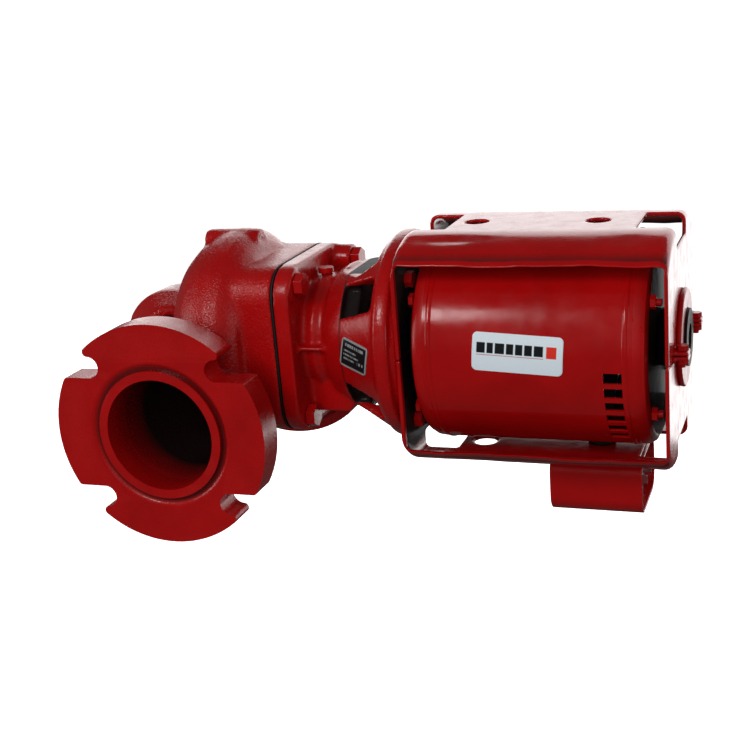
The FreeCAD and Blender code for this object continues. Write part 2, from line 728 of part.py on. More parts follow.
# ================================================================ pump rotating parts
def build_pump_shaft():
    shaft_end = bell_floor + collar_thick + face_gap + hub_plate
    return node(turned("shaft", [
        (impeller_front - nut_thick - 2, 0), (impeller_front - nut_thick - 2, shaft_tail_radius),
        (impeller_front, shaft_tail_radius), (impeller_front, shaft_radius),
        (shaft_end - 1, shaft_radius), (shaft_end, shaft_radius - 1), (shaft_end, 0)]), "pump_shaft")


def build_impeller():
    back = impeller_front + impeller_width
    shell = turned("impeller_shell", [
        (impeller_front, shaft_radius), (back, shaft_radius), (back, impeller_radius),
        (back - shroud_thick, impeller_radius), (back - shroud_thick, shaft_radius + 8),
        (impeller_front + 4, shaft_radius + 4), (impeller_front, shaft_radius + 4)])
    cover = turned("impeller_cover", [
        (impeller_front - 3, eye_radius - 3.5), (impeller_front - 3, eye_radius - 1),
        (impeller_front + 4, eye_radius + 1), (impeller_front + 8, impeller_radius),
        (impeller_front + 8 + shroud_thick, impeller_radius),
        (impeller_front + 4 + shroud_thick, eye_radius - 3.5)])
    blade = block("vane", (impeller_width - 7, vane_thick, impeller_radius - 14.5),
                  (impeller_front + 5, -12, 12.5))
    vanes = around_shaft("vane", blade, range(0, 360, 60))
    return node(fused("impeller_all", [shell, cover] + vanes), "impeller")


def build_impeller_nut():
    start = impeller_front - nut_thick
    nut = hexagon("impeller_nut_body", nut_across_flats, nut_thick, (start, 0, 0))
    hole = cylinder("impeller_nut_hole", shaft_tail_radius, nut_thick, (start, 0, 0))
    return node(carved("impeller_nut_cut", nut, [hole]), "impeller_nut")


def build_seal_spring():
    start = impeller_front + impeller_width + spring_wire + spring_gap
    length = seal_station - start - spring_wire
    path = doc.addObject("Part::Helix", "seal_spring_path")
    bind(path, "Radius", shaft_radius + 2)
    bind(path, "Height", length)
    bind(path, "Pitch", length / 3)
    moved_to(path, (start, 0, 0), ALONG["x"])
    bead = doc.addObject("Part::Circle", "seal_spring_wire")
    bind(bead, "Radius", spring_wire)
    moved_to(bead, (start, 0, -(shaft_radius + 2)), Rotation(Vector(1, 0, 0), 90))
    coil = doc.addObject("Part::Sweep", "seal_spring_coil")
    coil.Sections = [bead]
    coil.Spine = (path, [])
    coil.Solid = True
    coil.Frenet = True
    return node(coil, "seal_spring")


def build_seal():
    node(ring("seal_head_ring", shaft_radius + 0.05, seal_radius, seal_station, seal_length), "seal_head")
    seat_front = seal_station + seal_length + face_gap
    node(ring("seal_seat_ring", shaft_radius + 0.6, seat_ring_radius, seat_front, seat_ring_thick),
         "seal_seat")
    build_seal_spring()


def build_bushings():
    inner = shaft_radius + running_gap
    rear_start = bell_floor - bushing_length
    bushes = [ring("bushing_front_ring", inner, bushing_radius, bushing_front, bushing_length),
              ring("bushing_rear_ring", inner, bushing_radius, rear_start, bushing_length)]
    return node(gathered("bushings", bushes), "shaft_bushings")


def claws(name, start, length, width, turns):
    """Blocks cut to the hub's outside, one at each turn."""
    limit = ring(name + "_limit", jaw_inner, hub_radius, start, length)
    claw = block(name + "_block", (length, width, hub_radius + 2), (start, width / -2, 0))
    common = doc.addObject("Part::MultiCommon", name)
    common.Shapes = [limit, fused(name + "_set", around_shaft(name, claw, turns))]
    return common


def build_coupler():
    pump_front = bell_floor + collar_thick + face_gap
    pump_face = pump_front + hub_plate
    motor_face = pump_face + jaw_length + jaw_gap * 2
    disc = ring("pump_hub_disc", shaft_radius, hub_radius, pump_front, hub_plate)
    node(fused("pump_hub", [disc, claws("pump_claw", pump_face - 1, jaw_length + 1, jaw_width,
                                        (0, 120, 240))]), "coupler_hub_pump")
    disc = ring("motor_hub_disc", shaft_radius, hub_radius, motor_face, hub_plate)
    node(fused("motor_hub", [disc, claws("motor_claw", motor_face - jaw_length, jaw_length + 1, jaw_width,
                                         (60, 180, 300))]), "coupler_hub_motor")
    spider_front = pump_face + jaw_gap
    web = ring("spider_web", shaft_radius + 1, jaw_inner - jaw_gap, spider_front, jaw_length)
    leg = block("spider_leg", (jaw_length, leg_width, hub_radius - jaw_inner + 1),
                (spider_front, leg_width / -2, jaw_inner - 1))
    legs = around_shaft("spider_leg", leg, range(30, 390, 60))
    node(fused("spider", [web] + legs), "coupler_spider")
    node(ring("collar", shaft_radius, collar_radius, bell_floor + face_gap, collar_thick), "thrust_collar")


# ================================================================ motor
def end_bell(name, seam, outward, hub_length):
    """Cast end bell: outward is -1 at the pump end and +1 at the far end."""
    r, wall = motor_radius, end_bell_wall
    face = seam + outward * bell_depth
    tip = face + outward * hub_length
    bore = shaft_radius + 1.0
    inner_face = seam + outward * (bell_depth - wall)
    pocket = inner_face + outward * ball_bearing_width * 0.5
    inset = inner_face - outward * ball_bearing_width * 0.5
    cage = ball_bearing_radius
    return turned(name, [
        (seam, r), (seam + outward * 3.5, r - 0.4), (seam + outward * 7, r - 2.4),
        (face, r - 6.5), (face, motor_hub_radius), (tip, motor_hub_radius), (tip, bore),
        (pocket, bore), (pocket, cage), (inset, cage), (inset, cage + wall),
        (inner_face, cage + wall), (inner_face, r - 10), (seam, r - wall)])


def build_motor_case():
    drum = ring("shell_drum", motor_radius - shell_sheet, motor_radius, shell_front, shell_length)
    vent = block("vent", (vent_length, vent_height, 30), (vent_front, -vent_height / 2, motor_radius - 15))
    tools = around_shaft("vent", vent, VENT_ANGLES + [360.0 - angle for angle in VENT_ANGLES])
    node(carved("shell", drum, tools), "motor_shell")
    rod_hole = cylinder("rod_hole", through_bolt_radius + 0.15, shell_length + 4 * bell_depth,
                        (shell_front - 2 * bell_depth, 0, through_bolt_circle))
    rods = around_shaft("rod_hole", rod_hole, ROD_ANGLES)
    node(carved("front_bell", end_bell("front_bell_cast", shell_front, -1, front_hub_length), rods),
         "front_end_bell")
    node(carved("rear_bell", end_bell("rear_bell_cast", shell_back, 1, rear_hub_length), rods),
         "rear_end_bell")


def build_through_bolts():
    front = shell_front - bell_depth
    length = shell_length + 2 * bell_depth
    rod = cylinder("rod", through_bolt_radius, length + rod_head + rod_tail,
                   (front - rod_head, 0, through_bolt_circle))
    head = hexagon("rod_head", rod_flats, rod_head, (front - rod_head, 0, through_bolt_circle))
    nut = hexagon("rod_nut", rod_flats, rod_nut, (front + length, 0, through_bolt_circle))
    one = fused("through_bolt", [rod, head, nut])
    return node(gathered("through_bolt_set", around_shaft("through_bolt", one, ROD_ANGLES)),
                "through_bolts")


def build_stator():
    core = ring("stator_stack", rotor_radius + rotor_gap, stator_radius, stack_front, stack_length)
    rod_hole = cylinder("stack_hole", through_bolt_radius + 0.3, stack_length,
                        (stack_front, 0, through_bolt_circle))
    node(carved("stator", core, around_shaft("stack_hole", rod_hole, ROD_ANGLES)), "stator_core")
    coils = [ring("winding_" + side, rotor_radius + 3, through_bolt_circle - 4, start, winding_length)
             for side, start in (("front", stack_front - winding_length), ("rear", stack_back))]
    node(gathered("windings", coils), "stator_windings")
    band = ring("stator_band", stator_radius, motor_radius - shell_sheet, stack_front + 4, stack_length - 8)
    node(band, "stator_fit_band")


def build_rotor():
    bore_end = shell_back + bell_depth + rear_hub_length - 3
    node(turned("rotor_shaft", [
        (motor_shaft_front, 0), (motor_shaft_front, shaft_radius - 1),
        (motor_shaft_front + 1, shaft_radius), (bore_end, shaft_radius), (bore_end, 0)]), "motor_shaft")
    node(ring("rotor", shaft_radius, rotor_radius, stack_front, stack_length), "rotor_core")
    hub_front = stack_back + winding_length + 2
    disc = ring("fan_disc", shaft_radius, fan_radius - 14, hub_front, 2.5)
    hub = ring("fan_hub", shaft_radius, shaft_radius + 5, hub_front, fan_width)
    blade = block("fan_blade", (fan_width, 2, fan_radius - 30), (hub_front, -1, 28))
    node(fused("fan", [disc, hub] + around_shaft("fan_blade", blade, range(0, 360, 45))), "cooling_fan")


def build_motor_bearings():
    width = ball_bearing_width
    for name, seam, outward in (("front", shell_front, -1), ("rear", shell_back, 1)):
        middle = seam + outward * (bell_depth - end_bell_wall)
        part = ring("bearing_" + name, shaft_radius + running_gap, ball_bearing_radius,
                    middle - width / 2, width)
        node(part, name + "_motor_bearing")


def build_resilient_rings():
    front = cradle_front + cradle_sheet / 2 - resilient_width / 2
    rear = cradle_back - cradle_sheet / 2 - resilient_width / 2
    for name, start in (("front", front), ("rear", rear)):
        groove, lip = resilient_radius - rubber_groove, resilient_radius + 1.5
        back = start + resilient_width
        low, high = (start + back) / 2 - cradle_sheet / 2, (start + back) / 2 + cradle_sheet / 2
        node(turned("rubber_" + name, [
            (start, motor_hub_radius), (back, motor_hub_radius), (back, lip), (high, lip),
            (high, groove), (low, groove), (low, lip), (start, lip)]), name + "_resilient_ring")


# ================================================================ cradle
def cradle_loaf(name, up, skin, front, length, bend):
    """Solid bar with the cradle's arched section and rounded end bends; skin is taken off outside."""
    top = cradle_half_height - skin
    run = cradle_half_width - cradle_flat
    drop = cradle_skirt_drop
    arch = (run * run + drop * drop) / (drop * 2) - skin
    end_y = cradle_flat + arch * run / (arch + skin)
    end_z = top - arch + arch * (arch + skin - drop) / (arch + skin)
    low = cradle_split / 2

    def at(y, z):
        return (y, up * z)

    owner = body(name)
    item = sketch(owner, name + "_section", "YZ_Plane", front)
    draw_loop(item, [at(-end_y, low), at(-end_y, end_z), at(-cradle_flat, top), at(cradle_flat, top),
                     at(end_y, end_z), at(end_y, low)],
              {1: (arch, at(-cradle_flat, top - arch), -up), 3: (arch, at(cradle_flat, top - arch), -up)})
    pad = padded(owner, item, length)
    rounded(owner, pad, bend, lambda e: not runs_along_x(e) and abs(e.CenterOfMass.z) > end_z.value + 1
            and e.BoundBox.XLength < 0.01)
    return owner


def cradle_half(name, up):
    """One pressed steel half; up is 1 for the upper and -1 for the lower."""
    top = cradle_half_height
    low = cradle_split / 2
    outer = cradle_loaf(name + "_outer", up, 0, cradle_front, cradle_length, cradle_bend)
    inner = cradle_loaf(name + "_inner", up, cradle_sheet, cradle_front + cradle_sheet,
                        cradle_length - cradle_sheet * 2, cradle_bend - cradle_sheet)
    deep = cradle_half_width * 2 + 4
    base = 0 if up > 0 else cradle_skirt_drop - top
    sides = block(name + "_open_sides", (cradle_length - cradle_sheet * 2, deep, top - cradle_skirt_drop),
                  (cradle_front + cradle_sheet, deep / -2, base))
    shell = carved(name + "_shell", outer, [inner])
    pressed = carved(name + "_open", shell, [sides])
    tab_z = low if up > 0 else -low - cradle_sheet
    tabs = [block("%s_%s_tab" % (name, side), (tab_length + cradle_sheet, tab_width, cradle_sheet),
                  (cradle_back - cradle_sheet, sign * tab_centre_y - tab_width / 2, tab_z))
            for side, sign in (("near", -1), ("far", 1))]
    tools = []
    for side, start in (("front", cradle_front), ("rear", cradle_back - cradle_sheet)):
        tools.append(cylinder("%s_%s_notch" % (name, side), resilient_radius - rubber_groove + screw_gap,
                              cradle_sheet, (start, 0, 0)))
    hole_z = top - 12 if up > 0 else -top
    for side, start in (("front", plate_hole_front), ("rear", plate_hole_front + plate_hole_pitch)):
        if up > 0 or side == "front":
            y = 0 if up > 0 else -lower_hole_offset
            tools.append(cylinder("%s_%s_hole" % (name, side), plate_hole_radius, 12, (start, y, hole_z), "z"))
    cut_z = top - cutout_drop if up > 0 else -top
    for side, start in (("front", cradle_front), ("rear", cradle_back - cutout_length)):
        tools.append(block("%s_%s_cutout" % (name, side),
                           (cutout_length, cutout_half_width * 2, cutout_drop),
                           (start, -cutout_half_width, cut_z)))
    for side, sign in (("near", -1), ("far", 1)):
        tools.append(cylinder("%s_%s_clamp_hole" % (name, side), clamp_radius + screw_gap, cradle_sheet,
                              (cradle_back + tab_length / 2, sign * tab_centre_y, tab_z), "z"))
    hole = cylinder(name + "_ring_hole", screw_radius + screw_gap, cradle_sheet,
                    (cradle_front, 0, ring_bolt_circle))
    tools += around_shaft(name + "_ring_hole", hole, RING_ANGLES[::3] if up > 0 else RING_ANGLES[1:3])
    if up < 0:
        tools.append(cylinder("grommet_hole", grommet_radius - 2, 12, (grommet_station, 0, -top), "z"))
    return carved(name, fused(name + "_sheet", [pressed] + tabs), tools)


def build_cradle():
    node(cradle_half("upper_half", 1), "cradle_upper")
    node(cradle_half("lower_half", -1), "cradle_lower")
    face = cradle_split / 2 + cradle_sheet
    nut_low = face * -1 - clamp_nut
    x = cradle_back + tab_length / 2
    bolts, nuts = [], []
    for side, sign in (("near", -1), ("far", 1)):
        y = sign * tab_centre_y
        head = hexagon("clamp_head_" + side, clamp_flats, clamp_nut, (x, y, face), "z")
        shank = cylinder("clamp_shank_" + side, clamp_radius, face - nut_low + 2, (x, y, nut_low - 2), "z")
        bolts.append(fused("clamp_bolt_" + side, [head, shank]))
        nut = hexagon("clamp_nut_" + side, clamp_flats, clamp_nut, (x, y, nut_low), "z")
        hole = cylinder("clamp_nut_hole_" + side, clamp_radius, clamp_nut, (x, y, nut_low), "z")
        nuts.append(carved("clamp_nut_cut_" + side, nut, [hole]))
    node(gathered("clamp_bolts", bolts), "cradle_clamp_bolts")
    node(gathered("clamp_nuts", nuts), "cradle_clamp_nuts")


# ================================================================ capacitor, grommet and plates
def oblong(name, shrink, front, length):
    """Rounded oblong bar along X that hangs below the cradle; shrink is taken off every side."""
    owner = body(name)
    item = sketch(owner, name + "_section", "YZ_Plane", front)
    half = sleeve_width / 2 - shrink
    top = -cradle_half_height - shrink
    bottom = -cradle_half_height - sleeve_height + shrink
    draw_loop(item, [(-half, bottom), (half, bottom), (half, top), (-half, top)])
    pad = padded(owner, item, length)
    rounded(owner, pad, sleeve_corner - shrink, runs_along_x)
    return owner


def build_capacitor():
    outer = oblong("sleeve_outer", 0, sleeve_front, sleeve_length)
    inner = oblong("sleeve_inner", sleeve_sheet, sleeve_front + sleeve_sheet, sleeve_length)
    node(carved("sleeve", outer, [inner]), "capacitor_sleeve")
    can = oblong("can", sleeve_sheet, sleeve_front + sleeve_sheet, capacitor_length)
    tabs = [block("terminal_%d" % i, (7, 0.8, 6), (sleeve_front + sleeve_sheet + capacitor_length, y,
                                                    -cradle_half_height - sleeve_height / 2 - 3))
            for i, y in enumerate((-10, 10))]
    node(fused("can_and_tabs", [can] + tabs), "run_capacitor")


def build_grommet():
    z = -cradle_half_height + cradle_sheet
    flange = cylinder("grommet_flange", grommet_radius, 3, (grommet_station, 0, z), "z")
    low = (grommet_station, 0, z - cradle_sheet)
    neck = cylinder("grommet_neck", grommet_radius - 2, cradle_sheet, low, "z")
    hole = cylinder("grommet_bore", 4.0, 3 + cradle_sheet, low, "z")
    node(carved("grommet", fused("grommet_solid", [flange, neck]), [hole]), "lead_grommet")


def wrapped_plate(name, skin, thick_start, length, height, centre_angle):
    """The part of a thin skin that a radial block picks out."""
    picker = block(name + "_picker", (length, height, 60), (thick_start, -height / 2, 40))
    turned_picker = around_shaft(name + "_picker_turn", picker, [centre_angle])[0]
    common = doc.addObject("Part::MultiCommon", name)
    common.Shapes = [skin, turned_picker]
    return common


def build_plates():
    skin = ring("label_skin", motor_radius, motor_radius + label_thick, label_front, label_length)
    node(wrapped_plate("label", skin, label_front, label_length, label_height, 85), "maker_label")
    near = cone_front_radius + cone_slope * (rating_front - cone_station)
    far = near + cone_slope * rating_length
    back = rating_front + rating_length
    skin = turned("rating_skin", [(rating_front, near), (back, far), (back, far + rating_thick),
                                  (rating_front, near + rating_thick)])
    node(wrapped_plate("rating", skin, rating_front, rating_length, rating_height, 90), "rating_plate")


def build_all():
    build_casing()
    build_gauge_plugs()
    build_gasket()
    build_bracket()
    build_casing_screws()
    build_ring_screws()
    build_oil_cap()
    build_pump_shaft()
    build_impeller()
    build_impeller_nut()
    build_seal()
    build_bushings()
    build_coupler()
    build_motor_case()
    build_through_bolts()
    build_stator()
    build_rotor()
    build_motor_bearings()
    build_resilient_rings()
    build_cradle()
    build_capacitor()
    build_grommet()
    build_plates()


def check_and_export():
    doc.recompute()
    for item in doc.Objects:
        if "Invalid" in item.State or "Error" in item.State:
            raise RuntimeError("%s is %s" % (item.Name, item.State))
    os.makedirs("parts", exist_ok=True)
    for item in NODES:
        if item.Shape.isNull() or not item.Shape.isValid() or not item.Shape.Solids:
            raise RuntimeError("%s has no valid solid" % item.Label)
        item.Shape.exportStep(os.path.join("parts", item.Label + ".step"))


build_all()
check_and_export()
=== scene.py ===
import json
import math

import bmesh
import bpy
import numpy as np
from mathutils import Matrix, Vector

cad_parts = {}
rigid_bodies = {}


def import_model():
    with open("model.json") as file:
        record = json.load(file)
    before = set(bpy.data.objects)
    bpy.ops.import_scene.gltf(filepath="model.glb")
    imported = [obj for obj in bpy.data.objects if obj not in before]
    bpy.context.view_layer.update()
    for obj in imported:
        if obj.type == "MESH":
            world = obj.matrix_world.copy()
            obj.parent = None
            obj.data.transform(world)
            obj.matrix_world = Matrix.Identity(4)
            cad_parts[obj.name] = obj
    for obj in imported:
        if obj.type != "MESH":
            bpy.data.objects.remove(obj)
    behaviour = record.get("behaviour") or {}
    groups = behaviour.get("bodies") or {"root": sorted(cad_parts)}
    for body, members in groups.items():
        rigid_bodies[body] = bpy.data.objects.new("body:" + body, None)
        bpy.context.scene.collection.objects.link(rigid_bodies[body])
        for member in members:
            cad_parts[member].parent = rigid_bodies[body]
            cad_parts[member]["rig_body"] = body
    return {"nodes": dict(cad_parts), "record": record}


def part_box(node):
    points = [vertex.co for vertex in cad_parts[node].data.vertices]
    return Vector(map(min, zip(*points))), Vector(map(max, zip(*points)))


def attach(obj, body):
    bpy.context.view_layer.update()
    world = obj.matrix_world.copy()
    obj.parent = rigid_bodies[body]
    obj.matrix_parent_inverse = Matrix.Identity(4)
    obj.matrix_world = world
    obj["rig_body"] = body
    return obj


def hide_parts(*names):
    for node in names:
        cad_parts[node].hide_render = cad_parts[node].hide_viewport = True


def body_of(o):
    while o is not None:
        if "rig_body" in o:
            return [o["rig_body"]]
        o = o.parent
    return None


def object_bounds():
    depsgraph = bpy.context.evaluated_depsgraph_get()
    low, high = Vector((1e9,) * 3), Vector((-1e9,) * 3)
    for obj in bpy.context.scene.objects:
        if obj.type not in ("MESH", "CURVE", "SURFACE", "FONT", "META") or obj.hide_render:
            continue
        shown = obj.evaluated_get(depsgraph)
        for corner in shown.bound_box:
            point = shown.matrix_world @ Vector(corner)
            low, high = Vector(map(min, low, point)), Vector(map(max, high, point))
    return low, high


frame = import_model()
cad_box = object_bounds()
MM = 0.001

# Where the shaft and the pipe run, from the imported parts.
shaft_low, shaft_high = (np.array(c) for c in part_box("motor_shaft"))
SHAFT_Y, SHAFT_Z = (shaft_low[1] + shaft_high[1]) / 2, (shaft_low[2] + shaft_high[2]) / 2
case_low, case_high = (np.array(c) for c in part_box("volute_casing"))
joint_low, joint_high = (c[0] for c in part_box("casing_gasket"))
cradle_low, cradle_high = (np.array(c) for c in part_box("cradle_upper"))
CLAMP_TAB = 9 * MM
cradle_wall = cradle_high[0] - CLAMP_TAB
pipe_low, pipe_high = case_low[1], case_high[1]
FLANGE = 21 * MM
SHELL_RADIUS = 71.0


# ---------------------------------------------------------------- materials
class Shader:
    """A node material: nodes are added by type and wired by socket name."""

    def __init__(self, name, color, roughness, metallic=0.0, coat=0.0, coat_roughness=0.05, specular=0.5):
        self.material = bpy.data.materials.new(name)
        self.material.use_nodes = True
        self.tree = self.material.node_tree
        self.surface = self.tree.nodes["Principled BSDF"]
        self.place = self.add("ShaderNodeTexCoord").outputs["Object"]
        self.set(self.surface, {"Base Color": (*color, 1), "Roughness": roughness, "Metallic": metallic,
                                "Coat Weight": coat, "Coat Roughness": coat_roughness,
                                "Specular IOR Level": specular})

    def add(self, kind, values=None, **settings):
        node = self.tree.nodes.new(kind)
        for key, value in settings.items():
            setattr(node, key, value)
        self.set(node, values or {})
        return node

    def set(self, node, values):
        for key, value in values.items():
            if isinstance(value, bpy.types.NodeSocket):
                self.tree.links.new(value, node.inputs[key])
            else:
                node.inputs[key].default_value = value

    def noise(self, scale, detail=3.0, roughness=0.55, stretch=None):
        where = self.place
        if stretch:
            where = self.add("ShaderNodeMapping", {"Vector": where, "Scale": stretch}).outputs[0]
        return self.add("ShaderNodeTexNoise", {"Vector": where, "Scale": scale, "Detail": detail,
                                               "Roughness": roughness}).outputs["Fac"]

    def cells(self, scale):
        return self.add("ShaderNodeTexVoronoi", {"Vector": self.place, "Scale": scale, "Randomness": 1.0},
                        feature="SMOOTH_F1").outputs["Distance"]

    def ramp(self, value, low, high, start=0.0, end=1.0):
        return self.add("ShaderNodeMapRange", {"Value": value, "From Min": low, "From Max": high,
                                               "To Min": start, "To Max": end}).outputs[0]

    def mix(self, factor, first, second):
        node = self.add("ShaderNodeMix", {"Factor": factor}, data_type="RGBA")
        for socket, value in ((node.inputs[6], first), (node.inputs[7], second)):
            if isinstance(value, bpy.types.NodeSocket):
                self.tree.links.new(value, socket)
            else:
                socket.default_value = (*value, 1)
        return node.outputs[2]

    def arithmetic(self, operation, first, second=0.0):
        node = self.add("ShaderNodeMath", operation=operation)
        for socket, value in zip(node.inputs, (first, second)):
            if isinstance(value, bpy.types.NodeSocket):
                self.tree.links.new(value, socket)
            else:
                socket.default_value = value
        return node.outputs[0]

    def plus(self, first, second):
        return self.arithmetic("ADD", first, second)

    def minus(self, first, second):
        return self.arithmetic("SUBTRACT", first, second)

    def times(self, first, second):
        return self.arithmetic("MULTIPLY", first, second)

    def size(self, value):
        return self.arithmetic("ABSOLUTE", value)

    def length(self, vector):
        return self.add("ShaderNodeVectorMath", {0: vector}, operation="LENGTH").outputs["Value"]

    def band(self, value, low, high, soft):
        """1 between two values, falling to 0 over twice the softness at each end."""
        rise, fall = self.ramp(value, low - soft, low + soft), self.ramp(value, high + soft, high - soft)
        return self.times(rise, fall)

    def bump(self, height, distance, strength=1.0):
        node = self.add("ShaderNodeBump", {"Height": height, "Distance": distance, "Strength": strength})
        self.set(self.surface, {"Normal": node.outputs[0], "Coat Normal": node.outputs[0]})


RED = (0.42, 0.0030, 0.0034)
DEEP_RED = (0.34, 0.0022, 0.0026)
WORN_RED = (0.50, 0.020, 0.018)
# Near black that paints shade into hollows, insides and the joint at the gasket.
SHADE_BLACK = (0.008, 0.0035, 0.0035)


def painted_shade_in_passages(s, at):
    """Painted shade: deep in the two pipe passages the colour goes near black, grime and painted shade sit
    in the seat grooves, and the edge that meets the gasket is painted black as the joint's shade, all round
    the square mouth."""
    away = s.add("ShaderNodeCombineXYZ", {"X": at["X"], "Z": at["Z"]}).outputs[0]
    far = s.length(away)
    facing = s.add("ShaderNodeVectorMath", {0: away, 1: s.add("ShaderNodeNewGeometry").outputs["Normal"]},
                   operation="DOT_PRODUCT").outputs["Value"]
    deep = s.times(s.ramp(at["Y"], pipe_low + 10 * MM, pipe_low + 46 * MM),
                   s.ramp(at["Y"], pipe_high - 10 * MM, pipe_high - 46 * MM))
    inner = s.times(s.ramp(far, 45.0 * MM, 41.5 * MM), s.ramp(facing, 4 * MM, -4 * MM))
    groove = s.times(s.ramp(far, 45.0 * MM, 45.8 * MM), s.ramp(far, 50.5 * MM, 47.8 * MM))
    floor = s.times(s.ramp(at["Y"], pipe_low + 0.6 * MM, pipe_low + 2.2 * MM),
                    s.ramp(at["Y"], pipe_high - 0.6 * MM, pipe_high - 2.2 * MM))
    joint_shade = s.times(s.ramp(at["X"], joint_low - 1.2 * MM, joint_low - 0.8 * MM),
                    s.ramp(s.size(s.minus(at["Y"], SHAFT_Y)), 60 * MM, 59 * MM))
    return [s.times(deep, inner), s.times(s.times(groove, floor), 0.75), joint_shade], None


def painted_shade_within(reach, from_x=0.0):
    """Painted shade: near black inside a radius about the shaft, past a station, where light doesn't reach.
    Where the station is given, the face that meets the gasket is painted black as well, as the joint's
    shade."""
    def masks(s, at):
        across = s.add("ShaderNodeCombineXYZ", {"Y": s.minus(at["Y"], SHAFT_Y),
                                                "Z": s.minus(at["Z"], SHAFT_Z)})
        within = s.times(s.ramp(s.length(across.outputs[0]), reach + 1 * MM, reach),
                         s.ramp(at["X"], from_x, from_x + 1 * MM))
        if not from_x:
            return [within], within
        joint_shade = s.times(s.ramp(at["X"], joint_high + 1.0 * MM, joint_high + 0.6 * MM),
                        s.ramp(at["X"], joint_low - 2.0 * MM, joint_low))
        return [within, joint_shade], within
    return masks


def painted_shade_on_end_walls(s, at):
    """The inner faces of the cradle's end walls are painted near black as shade, since light doesn't reach
    them.
    """
    along = s.times(s.ramp(at["X"], cradle_low[0] + 1.0 * MM, cradle_low[0] + 1.8 * MM),
                    s.ramp(at["X"], cradle_wall - 1.0 * MM, cradle_wall - 1.8 * MM))
    near = s.ramp(at["Y"], SHAFT_Y - 65.5 * MM, SHAFT_Y - 64.5 * MM)
    between_skirts = s.ramp(s.size(s.minus(at["Z"], SHAFT_Z)), 70 * MM, 64 * MM)
    within = s.times(s.times(along, near), between_skirts)
    return [within], within


def enamel(name, pebble=0.0, pebble_scale=420.0, peel=0.00004, peel_scale=260.0, gloss=0.22, shade_masks=None):
    """Gloss red enamel. Pebble is the height of the sand-cast skin under the paint, peel the height
    of the paint's own ripple; colour pools darker in the hollows and fades on rubbed edges. The shade
    masks give painted shade, drawn in near black, and the one of them that is dull."""
    s = Shader(name, RED, gloss, coat=0.10, coat_roughness=0.10, specular=0.4)
    tone = s.mix(s.ramp(s.noise(26.0, 4.0), 0.35, 0.7), RED, DEEP_RED)
    edge = s.add("ShaderNodeNewGeometry").outputs["Pointiness"]
    rubbed = s.times(s.ramp(edge, 0.53, 0.60), s.ramp(s.noise(1500.0, 2.0), 0.45, 0.62))
    tone = s.mix(s.times(rubbed, 0.35), tone, WORN_RED)
    at = s.add("ShaderNodeSeparateXYZ", {"Vector": s.place}).outputs
    masks, dull = shade_masks(s, at) if shade_masks else ([], None)
    for mask in masks:
        tone = s.mix(mask, tone, SHADE_BLACK)
    rough = gloss if dull is None else s.ramp(dull, 0.0, 1.0, gloss, 0.75)
    s.set(s.surface, {"Base Color": tone,
                      "Roughness": s.plus(rough, s.ramp(s.noise(90.0, 5.0), 0.3, 0.7, -0.05, 0.10))})
    ripple = s.times(s.noise(peel_scale, 2.0), peel)
    if pebble:
        grains = s.times(s.ramp(s.cells(pebble_scale), 0.05, 0.55), pebble * 0.6)
        lumps = s.times(s.noise(pebble_scale * 0.45, 4.0, 0.6), pebble)
        ripple = s.plus(ripple, s.plus(grains, lumps))
    s.bump(ripple, 1.0)
    return s.material


def plain(name, color, roughness, metallic=0.0, grain=300.0, height=0.00003, contrast=0.25, stretch=None):
    """A single-finish material whose colour and roughness vary with a fine grain."""
    s = Shader(name, color, roughness, metallic=metallic)
    grit = s.noise(grain, 4.0, stretch=stretch)
    dark = tuple(c * (1 - contrast) for c in color)
    s.set(s.surface, {"Base Color": s.mix(grit, dark, color),
                      "Roughness": s.ramp(grit, 0.3, 0.7, roughness - 0.08, roughness + 0.1)})
    s.bump(s.times(grit, height), 1.0)
    return s.material


